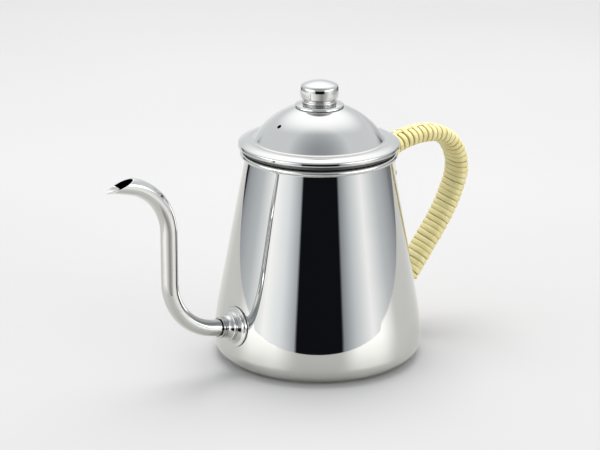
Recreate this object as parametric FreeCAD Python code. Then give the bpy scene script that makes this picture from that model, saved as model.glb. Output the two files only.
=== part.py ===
import FreeCAD, Part
import math
import os
from FreeCAD import Vector

# A gooseneck kettle in polished sheet steel, with a lift-off lid and a cane-bound handle.
# Lengths are millimetres and angles degrees. The origin is the middle of the base, +Z is up,
# the spout points along -X and the handle stands on the +X side.

# Pot: two pressings butt-welded at the widest line
BODY_RADIUS = 65.0
WELD_HEIGHT = 11.0  # also the radius of the rounded bottom edge
BELLY_ARC = 114.0  # large arc between the weld line and the straight wall
WALL_TAPER = 10.6  # lean of the straight wall
NECK_HEIGHT = 126.1  # where the wall starts to flare into the rim
FLARE_RADIUS = 5.0
FLARE_TURN = 35.0
SHEET = 0.8
BEAD_CENTRE_RADIUS = 46.75
BEAD_HEIGHT = 129.35
BEAD_RADIUS = 1.8
BASE_RING_START = 34.0  # inner edge of the stiffening ring pressed into the base
BASE_RING_RADIUS = 4.0
BASE_RING_TURN = 25.0

# Lid: dome, rolled brim and locating skirt
DOME_RADIUS = 47.1
DOME_CENTRE_HEIGHT = 113.95
DOME_FLAT_ANGLE = 11.5  # polar angle where the dome turns into the flat under the knob
DOME_FLAT_RADIUS = 10.0  # radius of that turn
DOME_ANGLE = 57.5  # polar angle where the dome meets the brim
VALLEY_RADIUS = 2.0
BRIM_RISE = 5.0  # slope of the brim at the valley
BRIM_RADIUS = 13.0
BRIM_FALL = 29.0  # slope of the brim where it turns into the lip
LIP_RADIUS = 1.2
LIP_SLOPE = 83.0
LIP_LENGTH = 0.5
HEM_RADIUS = 0.9  # the lip's edge is rolled under
HEM_TURN = 80.0
STEAM_HOLE_RADIUS = 1.5
STEAM_HOLE_ANGLE = 39.5  # polar angle on the dome, above the spout
SKIRT_RADIUS = 44.1
SKIRT_BOTTOM = 119.5
SKIRT_SHEET = 0.7
SHOULDER_HEIGHT = 131.45  # clears the top of the bead
SHOULDER_WIDTH = 1.9
SHOULDER_BENDS = (0.6, 1.0)
SKIRT_TOP = 137.3  # inside the brim's sheet, trimmed to its underside

# Knob and what holds it
SEAT_SHEET = 0.8
SEAT_FLAT = 10.6  # radius of the flat under the knob
SEAT_BEND = 6.0
SEAT_FALL = 13.0  # slope outside the flat
SEAT_SLOPE = 2.1  # length of that slope
SEAT_EDGE = 0.5  # inner radius of the turn into the rim
SEAT_RIM_SLOPE = 73.0
SEAT_RIM = 0.45
NECK_RADIUS = 9.8
NECK_FILLET = 0.3
RIDGE_RADIUS = 0.6
GROOVE_RADIUS = 0.4
GROOVE_TURN = 150.0
KNOB_FLARE = 0.95
KNOB_LOWER_EDGE = 1.6
KNOB_LEAN = 10.0  # the side leans outwards from its lower edge to its widest line
KNOB_SIDE = 23.0  # arc below the widest line
KNOB_SHOULDER = 9.0  # arc above the widest line
KNOB_SHOULDER_TURN = 12.0
KNOB_UPPER_EDGE = 2.8
KNOB_CROWN = 25.0
SCREW_RADIUS = 2.0
SCREW_CLEARANCE = 0.2
SCREW_REACH = 8.0  # thread length inside the knob
SCREW_HEAD = (4.0, 2.4)  # radius and height
SCREW_SLOT = (1.0, 1.0)  # width and depth
WASHER_RADIUS = 6.5
WASHER_SHEET = 0.8

# Spout: bent tube with an obliquely cut lip
SPOUT_HEIGHT = 28.9
SPOUT_RISE = 10.0
TUBE_RADIUS = 5.1
TUBE_SHEET = 0.7
TUBE_INSIDE = 10.0  # length inside the pot
TUBE_STRAIGHT = 16.2
LOWER_BEND = 36.0
RISER = 30.3
UPPER_BEND = 34.8
UPPER_TURN = 76.0
TIP_STRAIGHT = 8.3
LIP_BEND = 20.0
LIP_TURN = 8.3
TIP_END = 9.0  # runs past the oblique cut
CUT_TOP = (-132.5, 135.65)  # top end of the oblique cut
CUT_LIP = (-151.2, 129.07)  # lower end of the oblique cut

# Spout fixing, measured outwards from the wall along the spout's axis
STEM_RADIUS = 6.0
STEM_INSIDE = 9.0
GASKET_RADIUS = 12.1
GASKET_SHEET = 0.4
FLANGE_RADIUS = 12.65
FLANGE_RIM = 0.9  # thickness of the rim that follows the wall
FLANGE_TOP = 2.7
DISH_EDGE = (12.0, -0.2)  # radius and place where the dish sinks into the rim
DISH_MIDDLE = (10.15, 0.8)
COLLAR_BASE_RADIUS = 8.3
COLLAR_RIDGES = ((3.15, 0.45), (4.3, 0.4))  # place along the axis and radius of each ridge
COLLAR_WAIST_RADIUS = 6.45
COLLAR_WAIST = 6.4
COLLAR_MOUTH_RADIUS = 6.55
COLLAR_MOUTH = 11.5
MOUTH_RECESS = (5.85, 2.0)  # radius and depth of the gap round the tube
LOCK_WASHER_RADIUS = 9.6
LOCK_WASHER_FACE = -4.0
NUT_HALF_WIDTH = 9.0  # half the width across flats
NUT_HEIGHT = 4.0

# Handle: oval bar, its two fixings and the cane round it
HANDLE_START = (47.38, 120.97)
HANDLE_HEADING = 28.7
HANDLE_STEPS = ((66.6, -36.3), (26.3, -102.4), (101.4, -18.1), (52.0,))
CORE_HALF_THICKNESS = 2.7
CORE_HALF_WIDTH = 6.5
CORE_EDGE_RADIUS = 2.12
CORE_INSET = 1.5  # straight length before the first bend, trimmed to the saddle
SADDLE_THICKNESS = 2.0
SADDLE_BOX = (41.0, 15.2, 118.2, 5.0)  # width, height, middle height and corner radius
FOOT_THICKNESS = 1.5
FOOT_BOX = (24.0, 21.0, 27.5, 6.0)
CANE_RADIUS = 1.35
CANE_CLEARANCE = 0.05
CANE_START = 5.6  # distance along the handle
CANE_LENGTH = 153.2
CANE_TURNS = 20  # in each of the two lengths of cane
OVER_HALF_TURN = 10  # in points of the cane, sixteen to a turn
RUNNER_START = 4.5  # angle along the first bend
RUNNER_SWEEP = 24.0
RUNNER_WIDTH = 3.4
RUNNER_SHEET = 0.9

SIDEWAYS = Vector(0, 1, 0)
UP = Vector(0, 0, 1)
BIG = 400.0


def forward(angle):
    """Unit vector in the XZ plane at an angle in radians above +X."""
    return Vector(math.cos(angle), 0, math.sin(angle))


def left(angle):
    """Unit vector in the XZ plane, a quarter turn to the left of forward."""
    return Vector(-math.sin(angle), 0, math.cos(angle))


def step_end(here, angle, step):
    """Point and heading after one step: a line (length,) or an arc (radius, turn), left positive."""
    if len(step) == 1:
        return here + step[0] * forward(angle), angle
    radius, turn = step
    reach = math.copysign(radius, turn)
    end = angle + math.radians(turn)
    return here + reach * (left(angle) - left(end)), end


def shifted(step, shift):
    """The same step on a run moved to its left by shift."""
    if len(step) == 1:
        return step
    return step[0] - shift * math.copysign(1, step[1]), step[1]


def run(start, heading, steps, shift=0.0):
    """Edges of a run of tangent lines and arcs in the XZ plane, moved to its left by shift."""
    angle = math.radians(heading)
    here = Vector(start[0], 0, start[1]) + shift * left(angle)
    edges = []
    for step in steps:
        moved = shifted(step, shift)
        there, end = step_end(here, angle, moved)
        if len(step) == 1:
            edges.append(Part.LineSegment(here, there).toShape())
        else:
            middle, _ = step_end(here, angle, (moved[0], moved[1] / 2))
            edges.append(Part.Arc(here, middle, there).toShape())
        here, angle = there, end
    return edges


def walk(start, heading, steps, distance):
    """Point and heading at a distance along a run."""
    here = Vector(start[0], 0, start[1])
    angle = math.radians(heading)
    for step in steps:
        length = step[0] if len(step) == 1 else step[0] * abs(math.radians(step[1]))
        if distance <= length:
            part = (distance,) if len(step) == 1 else (step[0], step[1] * distance / length)
            return step_end(here, angle, part)
        distance -= length
        here, angle = step_end(here, angle, step)
    return here, angle


def tail(edges):
    """Last point of a run of edges."""
    return edges[-1].Vertexes[-1].Point


def closed_face(edges, *corners):
    """Face inside a run that is closed by straight lines through the corners."""
    points = [tail(edges)] + [Vector(r, 0, z) for r, z in corners] + [edges[0].Vertexes[0].Point]
    lines = [Part.LineSegment(a, b).toShape() for a, b in zip(points, points[1:])]
    return Part.Face(Part.Wire(edges + lines))


def sheet_face(start, heading, steps, low, high):
    """Section of sheet metal between a run shifted by low and the same run shifted by high."""
    near = run(start, heading, steps, low)
    far = run(start, heading, steps, high)
    ends = [
        Part.LineSegment(tail(near), tail(far)).toShape(),
        Part.LineSegment(far[0].Vertexes[0].Point, near[0].Vertexes[0].Point).toShape(),
    ]
    return Part.Face(Part.Wire(near + ends[:1] + far[::-1] + ends[1:]))


def turned(face):
    """Solid of revolution about the pot's axis."""
    return face.revolve(Vector(), UP, 360)


# Pot

WELD_POINT = (BODY_RADIUS, WELD_HEIGHT)
BELLY_TOP = WELD_HEIGHT + BELLY_ARC * math.sin(math.radians(WALL_TAPER))
WALL_LENGTH = (NECK_HEIGHT - BELLY_TOP) / math.cos(math.radians(WALL_TAPER))
WALL_STEPS = ((BELLY_ARC, WALL_TAPER), (WALL_LENGTH,))


def pot_form(offset):
    """Filled outline of the pot's wall, grown outwards by offset."""
    edges = run(WELD_POINT, 90, WALL_STEPS, -offset)
    return turned(closed_face(edges, (0, tail(edges).z), (0, WELD_HEIGHT)))


def make_body_wall():
    """Tapered wall that flares into a rolled bead, with the hole for the spout's stem."""
    flare = ((FLARE_RADIUS, -FLARE_TURN),)
    wall = turned(sheet_face(WELD_POINT, 90, WALL_STEPS + flare, 0, SHEET))
    bead = Part.makeTorus(BEAD_CENTRE_RADIUS, BEAD_RADIUS, Vector(0, 0, BEAD_HEIGHT))
    hole = on_spout(Part.makeCylinder(STEM_RADIUS, 2 * STEM_INSIDE, Vector(0, 0, -STEM_INSIDE)))
    return wall.fuse(bead).removeSplitter().cut(hole)


def make_bottom_pan():
    """Flat base with a pressed stiffening ring and a rounded edge up to the weld line."""
    ring = (
        (BASE_RING_RADIUS, BASE_RING_TURN),
        (BASE_RING_RADIUS, -2 * BASE_RING_TURN),
        (BASE_RING_RADIUS, BASE_RING_TURN),
    )
    ring_width = 4 * BASE_RING_RADIUS * math.sin(math.radians(BASE_RING_TURN))
    rest = BODY_RADIUS - WELD_HEIGHT - BASE_RING_START - ring_width
    steps = ((BASE_RING_START,), *ring, (rest,), (WELD_HEIGHT, 90))
    return turned(sheet_face((0, 0), 0, steps, 0, SHEET))


# Spout

SPOUT_ANGLE = math.radians(180 - SPOUT_RISE)
BELLY_DEPTH = math.sqrt(BELLY_ARC**2 - (SPOUT_HEIGHT - WELD_HEIGHT) ** 2)
SPOUT_ROOT = Vector(BELLY_ARC - BODY_RADIUS - BELLY_DEPTH, 0, SPOUT_HEIGHT)


def on_spout(shape):
    """Places a shape made about +Z on the spout's axis, with its zero at the wall."""
    shape.Placement = FreeCAD.Placement(SPOUT_ROOT, FreeCAD.Rotation(UP, forward(SPOUT_ANGLE)))
    return shape


def swept_disc(start, heading, steps, radius):
    """Round bar along a run."""
    path = Part.Wire(run(start, heading, steps))
    ring = Part.Wire(Part.makeCircle(radius, path.Vertexes[0].Point, forward(math.radians(heading))))
    return path.makePipeShell([ring], True, False)


def above_cut():
    """Block over the oblique plane that trims the tip of the spout."""
    fall = math.atan2(CUT_TOP[1] - CUT_LIP[1], CUT_TOP[0] - CUT_LIP[0])
    block = Part.makeBox(BIG, BIG, BIG, Vector(-BIG / 2, -BIG / 2, 0))
    turn = FreeCAD.Rotation(SIDEWAYS, -math.degrees(fall))
    block.Placement = FreeCAD.Placement(Vector(CUT_TOP[0], 0, CUT_TOP[1]), turn)
    return block


def make_spout_tube():
    """Tube that leaves the pot, rises upright and bends over to a quill-cut pouring lip."""
    steps = (
        (TUBE_INSIDE + TUBE_STRAIGHT,),
        (LOWER_BEND, SPOUT_RISE - 90),
        (RISER,),
        (UPPER_BEND, UPPER_TURN),
        (TIP_STRAIGHT,),
        (LIP_BEND, LIP_TURN),
        (TIP_END,),
    )
    first = SPOUT_ROOT - TUBE_INSIDE * forward(SPOUT_ANGLE)
    start = (first.x, first.z)
    outside = swept_disc(start, 180 - SPOUT_RISE, steps, TUBE_RADIUS)
    inside = swept_disc(start, 180 - SPOUT_RISE, steps, TUBE_RADIUS - TUBE_SHEET)
    return outside.cut(inside).cut(above_cut())


def lathe(points):
    """Ring turned about +Z from (radius, height) corners."""
    corners = [Vector(r, 0, z) for r, z in points]
    return turned(Part.Face(Part.makePolygon(corners + corners[:1])))


def make_spout_collar():
    """Turned sleeve with two ridges, a waist and a stem that passes through the wall."""
    recess_radius, recess_depth = MOUTH_RECESS
    waist = Part.Arc(
        Vector(COLLAR_BASE_RADIUS - COLLAR_RIDGES[1][1], 0, COLLAR_RIDGES[1][0]),
        Vector(COLLAR_WAIST_RADIUS, 0, COLLAR_WAIST),
        Vector(COLLAR_MOUTH_RADIUS, 0, COLLAR_MOUTH - recess_depth),
    ).toShape()
    corners = (
        (COLLAR_MOUTH_RADIUS, COLLAR_MOUTH),
        (recess_radius, COLLAR_MOUTH),
        (recess_radius, COLLAR_MOUTH - recess_depth),
        (TUBE_RADIUS, COLLAR_MOUTH - recess_depth),
        (TUBE_RADIUS, -STEM_INSIDE),
        (STEM_RADIUS, -STEM_INSIDE),
        (STEM_RADIUS, FLANGE_TOP),
        (COLLAR_BASE_RADIUS - COLLAR_RIDGES[0][1], FLANGE_TOP),
    )
    collar = turned(closed_face([waist], *corners))
    for place, radius in COLLAR_RIDGES:
        ridge = Part.makeTorus(COLLAR_BASE_RADIUS - radius, radius, Vector(0, 0, place))
        collar = collar.fuse(ridge)
    return on_spout(collar.removeSplitter())


def stem_ring(radius, low, high):
    """Flat ring round the stem between two heights on the spout's axis."""
    ring = Part.makeCylinder(radius, high - low, Vector(0, 0, low))
    bore = Part.makeCylinder(STEM_RADIUS, high - low, Vector(0, 0, low))
    return on_spout(ring.cut(bore))


def make_spout_flange():
    """Cover of the joint between collar and wall: a thin rim curved to the wall and a dish on it."""
    inner = pot_form(GASKET_SHEET)
    outer = pot_form(GASKET_SHEET + FLANGE_RIM)
    rim = stem_ring(FLANGE_RADIUS, -STEM_INSIDE, STEM_INSIDE).common(outer)
    arc = Part.Arc(*(Vector(r, 0, z) for r, z in (DISH_EDGE, DISH_MIDDLE, (COLLAR_BASE_RADIUS, FLANGE_TOP))))
    corners = ((STEM_RADIUS, FLANGE_TOP), (STEM_RADIUS, -STEM_INSIDE), (DISH_EDGE[0], -STEM_INSIDE))
    dish = on_spout(turned(closed_face([arc.toShape()], *corners)))
    return rim.fuse(dish).cut(inner).removeSplitter()


def make_spout_gasket():
    """Thin ring of silicone, curved to the wall behind the flange."""
    ring = stem_ring(GASKET_RADIUS, -STEM_INSIDE, STEM_INSIDE)
    return ring.common(pot_form(GASKET_SHEET)).cut(pot_form(0))


def make_spout_lock_washer():
    """Shaped washer inside the pot, curved to the wall and flat towards the nut."""
    return stem_ring(LOCK_WASHER_RADIUS, LOCK_WASHER_FACE, STEM_INSIDE).common(pot_form(-SHEET))


def make_spout_lock_nut():
    """Hexagon nut on the stem inside the pot."""
    reach = NUT_HALF_WIDTH / math.cos(math.radians(30))
    low = LOCK_WASHER_FACE - NUT_HEIGHT
    corners = [
        Vector(reach * math.cos(math.radians(60 * k)), reach * math.sin(math.radians(60 * k)), low)
        for k in range(7)
    ]
    hexagon = Part.Face(Part.makePolygon(corners)).extrude(Vector(0, 0, NUT_HEIGHT))
    return on_spout(hexagon.cut(Part.makeCylinder(STEM_RADIUS, NUT_HEIGHT, Vector(0, 0, low))))


# Handle

def plate_blank(width, height, middle, corner):
    """Round-cornered block across the handle's plane, from which a fixing plate is trimmed."""
    block = Part.makeBox(BIG, width, height, Vector(0, -width / 2, middle - height / 2))
    long_edges = [e for e in block.Edges if abs(e.tangentAt(e.FirstParameter).x) > 0.5]
    return block.makeFillet(corner, long_edges)


def make_handle_saddle():
    """Curved plate under the bead that carries the upper end of the handle."""
    return plate_blank(*SADDLE_BOX).common(pot_form(SADDLE_THICKNESS)).cut(pot_form(0))


def make_handle_foot_plate():
    """Curved plate low on the wall that carries the lower end of the handle."""
    return plate_blank(*FOOT_BOX).common(pot_form(FOOT_THICKNESS)).cut(pot_form(0))


def oval_section(origin, angle, half_thickness, half_width, edge_radius):
    """Oval wire of four tangent arcs, square to a run at its heading."""
    side = half_width - edge_radius
    flat_radius = (side**2 + half_thickness**2 - edge_radius**2) / (half_thickness - edge_radius) / 2
    depth = flat_radius - half_thickness
    reach = flat_radius / (flat_radius - edge_radius)
    joint_side = side * reach
    joint_thick = depth * reach - depth

    def at(thick, wide):
        return origin + thick * left(angle) + wide * SIDEWAYS

    corners = [at(joint_thick, -joint_side), at(joint_thick, joint_side)]
    corners += [at(-joint_thick, joint_side), at(-joint_thick, -joint_side)]
    middles = [at(half_thickness, 0), at(0, half_width), at(-half_thickness, 0), at(0, -half_width)]
    ends = corners[1:] + corners[:1]
    return Part.Wire([Part.Arc(a, m, b).toShape() for a, m, b in zip(corners, middles, ends)])


def make_handle_core():
    """Oval steel bar bent to the shape of an ear and butted on the saddle and the foot plate."""
    angle = math.radians(HANDLE_HEADING)
    start = Vector(HANDLE_START[0], 0, HANDLE_START[1]) - CORE_INSET * forward(angle)
    path = Part.Wire(run((start.x, start.z), HANDLE_HEADING, ((CORE_INSET,), *HANDLE_STEPS)))
    section = oval_section(
        start,
        angle,
        CORE_HALF_THICKNESS,
        CORE_HALF_WIDTH,
        CORE_EDGE_RADIUS,
    )
    bar = path.makePipeShell([section], True, False)
    upper_half = Part.makeBox(BIG, BIG, BIG, Vector(-BIG / 2, -BIG / 2, NECK_HEIGHT / 2))
    upper = pot_form(SADDLE_THICKNESS).common(upper_half)
    lower = pot_form(FOOT_THICKNESS).cut(upper_half)
    return bar.cut(upper).cut(lower)


def cane_station(quarter):
    """Point and unit tangent of the cane at a count of quarter turns from its upper end."""
    pitch = CANE_LENGTH / (2 * CANE_TURNS)
    thick = CORE_HALF_THICKNESS + CANE_CLEARANCE + CANE_RADIUS
    wide = CORE_HALF_WIDTH + CANE_CLEARANCE + CANE_RADIUS
    around = math.pi * (3 * (thick + wide) - math.sqrt((3 * thick + wide) * (thick + 3 * wide)))
    here, angle = walk(HANDLE_START, HANDLE_HEADING, HANDLE_STEPS, CANE_START + quarter * pitch / 4)
    turn = quarter * math.pi / 2
    place = here + thick * math.cos(turn) * left(angle) + wide * math.sin(turn) * SIDEWAYS
    tangent = math.cos(turn) * SIDEWAYS - math.sin(turn) * left(angle) + pitch / around * forward(angle)
    return place, tangent.normalize()


def arc_middle(first, corner, last):
    """Point half way along the arc that leaves first towards corner and arrives at last."""
    chord = (last - first) * 0.5
    rise = corner - first - chord
    half_turn = math.atan2(rise.Length, chord.Length)
    return first + chord + rise.normalize() * (chord.Length * math.tan(half_turn / 2))


def biarc(first, first_tangent, last, last_tangent):
    """Two tangent arcs, as triples of points, with equal tangent lengths at both ends."""
    span = last - first
    both = first_tangent + last_tangent
    square = 4 - both.dot(both)
    along = span.dot(both)
    reach = (math.sqrt(along**2 + square * span.dot(span)) - along) / square
    corner_a = first + reach * first_tangent
    corner_b = last - reach * last_tangent
    joint = (corner_a + corner_b) * 0.5
    return (
        (first, arc_middle(first, corner_a, joint), joint),
        (joint, arc_middle(joint, corner_b, last), last),
    )


def cane_arcs(first_turn, turns):
    """Point triples of the arcs of some turns of cane, two arcs for each quarter turn."""
    stations = [cane_station(4 * first_turn + k) for k in range(4 * turns + 1)]
    arcs = []
    for (first, first_tangent), (last, last_tangent) in zip(stations, stations[1:]):
        arcs += biarc(first, first_tangent, last, last_tangent)
    return arcs


def print_least_gap(name, arcs):
    """Least distance between points of the cane over half a turn apart, less its thickness."""
    points = [p for first, middle, _ in arcs for p in (first, middle)]
    gaps = (
        p.distanceToPoint(q) - 2 * CANE_RADIUS
        for i, p in enumerate(points)
        for q in points[i + OVER_HALF_TURN :]
    )
    print(f"{name}: {CANE_TURNS} turns, least gap to itself {min(gaps):.2f} mm")


def make_cane_wrap(name, first_turn):
    """One length of cane wound round the handle as an unbroken tube."""
    arcs = cane_arcs(first_turn, CANE_TURNS)
    print_least_gap(name, arcs)
    path = Part.Wire([Part.Arc(*points).toShape() for points in arcs])
    start, tangent = cane_station(4 * first_turn)
    ring = Part.Wire(Part.makeCircle(CANE_RADIUS, start, tangent))
    return path.makePipeShell([ring], True, False)


def make_cane_runner():
    """Flat strip of cane that lies along the top of the upper turns."""
    bend_radius = HANDLE_STEPS[0][0]
    angle = math.radians(HANDLE_HEADING - RUNNER_START)
    start = Vector(HANDLE_START[0], 0, HANDLE_START[1])
    middle = start - bend_radius * left(math.radians(HANDLE_HEADING))
    low = bend_radius + CORE_HALF_THICKNESS + 2 * (CANE_RADIUS + CANE_CLEARANCE)
    half = RUNNER_WIDTH / 2
    flat = [
        middle + radius * left(angle) + wide * SIDEWAYS
        for radius, wide in ((low, -half), (low, half), (low + RUNNER_SHEET / 2, half))
    ]
    crown = Part.Arc(
        flat[2],
        middle + (low + RUNNER_SHEET) * left(angle),
        middle + (low + RUNNER_SHEET / 2) * left(angle) - half * SIDEWAYS,
    ).toShape()
    ends = flat + [crown.Vertexes[-1].Point]
    lines = [Part.LineSegment(a, b).toShape() for a, b in ((ends[3], ends[0]), ends[0:2], ends[1:3])]
    section = Part.Face(Part.Wire(lines + [crown]))
    return section.revolve(middle, SIDEWAYS, RUNNER_SWEEP)


# Lid

DOME_FLAT = (DOME_RADIUS - DOME_FLAT_RADIUS) * math.sin(math.radians(DOME_FLAT_ANGLE))
DOME_TOP = DOME_CENTRE_HEIGHT + DOME_FLAT_RADIUS + (DOME_RADIUS - DOME_FLAT_RADIUS) * math.cos(
    math.radians(DOME_FLAT_ANGLE)
)
SCREW_HOLE = SCREW_RADIUS + SCREW_CLEARANCE
DOME_START = (SCREW_HOLE, DOME_TOP)
DOME_CENTRE_STEPS = ((DOME_FLAT - SCREW_HOLE,), (DOME_FLAT_RADIUS, -DOME_FLAT_ANGLE))


def make_lid_dome():
    """Pressed dome with a flat for the knob, a valley, a convex brim, a rolled hem and a steam hole."""
    brim = (
        (DOME_RADIUS, DOME_FLAT_ANGLE - DOME_ANGLE),
        (VALLEY_RADIUS, DOME_ANGLE + BRIM_RISE),
        (BRIM_RADIUS, -BRIM_RISE - BRIM_FALL),
        (LIP_RADIUS, BRIM_FALL - LIP_SLOPE),
        (LIP_LENGTH,),
        (HEM_RADIUS, -HEM_TURN),
    )
    dome = turned(sheet_face(DOME_START, 0, DOME_CENTRE_STEPS + brim, 0, -SHEET))
    outwards = forward(math.radians(90 + STEAM_HOLE_ANGLE))
    middle = Vector(0, 0, DOME_CENTRE_HEIGHT)
    hole = Part.makeCylinder(STEAM_HOLE_RADIUS, 2 * DOME_RADIUS, middle, outwards)
    return dome.cut(hole)


def make_lid_skirt(lid_dome):
    """Stepped ring that drops into the mouth and hangs the lid on the bead by its shoulder."""
    lower_bend, upper_bend = SHOULDER_BENDS
    steps = (
        (SHOULDER_HEIGHT - SKIRT_BOTTOM - lower_bend,),
        (lower_bend, -90),
        (SHOULDER_WIDTH,),
        (upper_bend, 90),
        (SKIRT_TOP - SHOULDER_HEIGHT - upper_bend,),
    )
    ring = turned(sheet_face((SKIRT_RADIUS, SKIRT_BOTTOM), 90, steps, 0, SKIRT_SHEET))
    return ring.cut(lid_dome)


def make_knob_seat():
    """Thin pressed disc on the flat of the dome, flatter than the dome, with its rim turned down."""
    steps = (
        (SEAT_FLAT - SCREW_HOLE,),
        (SEAT_BEND, -SEAT_FALL),
        (SEAT_SLOPE,),
        (SEAT_EDGE, SEAT_FALL - SEAT_RIM_SLOPE),
        (SEAT_RIM,),
    )
    return turned(sheet_face(DOME_START, 0, steps, 0, SEAT_SHEET))


def make_knob():
    """Turned knob: ridge and groove at its foot, flared underside, barrel side and low crown."""
    base = DOME_TOP + SEAT_SHEET
    start = (NECK_RADIUS, base)
    side = (
        (NECK_FILLET, -90),
        (RIDGE_RADIUS, 180),
        (GROOVE_RADIUS, -GROOVE_TURN),
        (KNOB_FLARE,),
        (KNOB_LOWER_EDGE, GROOVE_TURN - 90 - KNOB_LEAN),
        (KNOB_SIDE, KNOB_LEAN),
        (KNOB_SHOULDER, KNOB_SHOULDER_TURN),
    )
    here, angle = walk(start, 90, side, BIG)
    edge_centre = here + KNOB_UPPER_EDGE * left(angle)
    crown = math.degrees(math.asin(edge_centre.x / (KNOB_CROWN - KNOB_UPPER_EDGE)))
    top = ((KNOB_UPPER_EDGE, 90 - KNOB_SHOULDER_TURN - crown), (KNOB_CROWN, crown))
    knob = turned(closed_face(run(start, 90, side + top), (0, base)))
    return knob.cut(Part.makeCylinder(SCREW_RADIUS, SCREW_REACH, Vector(0, 0, base)))


def make_knob_washer():
    """Flat washer under the dome."""
    low = DOME_TOP - SHEET - WASHER_SHEET
    return lathe(
        (
            (SCREW_HOLE, low),
            (WASHER_RADIUS, low),
            (WASHER_RADIUS, low + WASHER_SHEET),
            (SCREW_HOLE, low + WASHER_SHEET),
        )
    )


def make_knob_screw():
    """Slotted screw that pulls the knob on to its seat from inside the lid."""
    head_radius, head_height = SCREW_HEAD
    slot_width, slot_depth = SCREW_SLOT
    shoulder = DOME_TOP - SHEET - WASHER_SHEET
    low = shoulder - head_height
    head = Part.makeCylinder(head_radius, head_height, Vector(0, 0, low))
    thread_length = DOME_TOP + SEAT_SHEET + SCREW_REACH - shoulder
    thread = Part.makeCylinder(SCREW_RADIUS, thread_length, Vector(0, 0, shoulder))
    corner = Vector(-head_radius, -slot_width / 2, low)
    slot = Part.makeBox(2 * head_radius, slot_width, slot_depth, corner)
    return head.fuse(thread).removeSplitter().cut(slot)


def main():
    """Builds every piece and writes each one to its own file."""
    lid_dome = make_lid_dome()
    pieces = {
        "body_wall": make_body_wall(),
        "bottom_pan": make_bottom_pan(),
        "spout_tube": make_spout_tube(),
        "spout_collar": make_spout_collar(),
        "spout_flange": make_spout_flange(),
        "spout_gasket": make_spout_gasket(),
        "spout_lock_washer": make_spout_lock_washer(),
        "spout_lock_nut": make_spout_lock_nut(),
        "handle_core": make_handle_core(),
        "handle_saddle": make_handle_saddle(),
        "handle_foot_plate": make_handle_foot_plate(),
        "cane_wrap_upper": make_cane_wrap("cane_wrap_upper", 0),
        "cane_wrap_lower": make_cane_wrap("cane_wrap_lower", CANE_TURNS),
        "cane_runner": make_cane_runner(),
        "lid_dome": lid_dome,
        "lid_skirt": make_lid_skirt(lid_dome),
        "knob": make_knob(),
        "knob_seat": make_knob_seat(),
        "knob_washer": make_knob_washer(),
        "knob_screw": make_knob_screw(),
    }
    os.makedirs("parts", exist_ok=True)
    for name, shape in pieces.items():
        print(f"{name}: {len(shape.Solids)} solid, {shape.Volume / 1000:.2f} cm3, valid {shape.isValid()}")
        shape.exportStep(f"parts/{name}.step")


main()
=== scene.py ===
# %% [markdown]
# # A gooseneck kettle
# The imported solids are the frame: they say where everything is, and which pieces move with the lid.
# This lesson dresses them. Polished sheet metal shows every facet as a kink in its reflections, so the
# steel pieces that show are made again as smooth numpy surfaces in the same place, and the plain winding
# on the handle becomes a real strip of cane. Sizes are in millimetres until a mesh is made.

# %% Load the frame
import math

import bmesh
import bpy
import numpy as np
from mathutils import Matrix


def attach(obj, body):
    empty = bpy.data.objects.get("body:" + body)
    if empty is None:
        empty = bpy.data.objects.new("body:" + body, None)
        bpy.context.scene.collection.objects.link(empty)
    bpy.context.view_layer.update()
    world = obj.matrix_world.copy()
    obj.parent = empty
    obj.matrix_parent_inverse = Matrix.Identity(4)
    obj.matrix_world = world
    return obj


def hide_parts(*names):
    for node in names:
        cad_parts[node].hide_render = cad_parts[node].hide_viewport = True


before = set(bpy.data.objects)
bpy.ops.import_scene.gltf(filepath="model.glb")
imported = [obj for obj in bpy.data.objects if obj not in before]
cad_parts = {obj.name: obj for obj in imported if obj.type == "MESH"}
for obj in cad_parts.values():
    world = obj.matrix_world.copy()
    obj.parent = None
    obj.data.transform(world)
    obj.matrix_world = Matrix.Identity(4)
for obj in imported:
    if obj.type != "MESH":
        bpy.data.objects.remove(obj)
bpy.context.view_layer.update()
MM = 0.001

# %% [markdown]
# ## Camera
# The picture was taken with a long lens from a little above the lid. A camera that looks along the wrong
# line spoils every later comparison, so it comes first. It could be pushed about by eye, but its place and
# its three turns come from a pin-hole camera fitted to the round rims of the kettle, whose sizes are known
# from the solids.

# %% Where the camera stands
CAMERA_BEARING = math.radians(180 + 53.5)  # where the camera stands, seen from the kettle
CAMERA_DISTANCE = 1180.94
CAMERA_HEIGHT = 468.0
CAMERA_DOWN = math.radians(18.085)
CAMERA_SWING = math.radians(-0.553)  # off the kettle's axis, to the right
CAMERA_ROLL = math.radians(0.324)
FOCAL_PIXELS, IMAGE_WIDTH = 2000.0, 600.0
SENSOR_WIDTH = 36.0
NEAR_CLIP, FAR_CLIP = 0.01, 50.0  # metres
TO_LENS = np.array([math.cos(CAMERA_BEARING), math.sin(CAMERA_BEARING), 0.0])
LENS_RIGHT = np.array([-math.sin(CAMERA_BEARING), math.cos(CAMERA_BEARING), 0.0])
UP = np.array([0.0, 0.0, 1.0])


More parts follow.
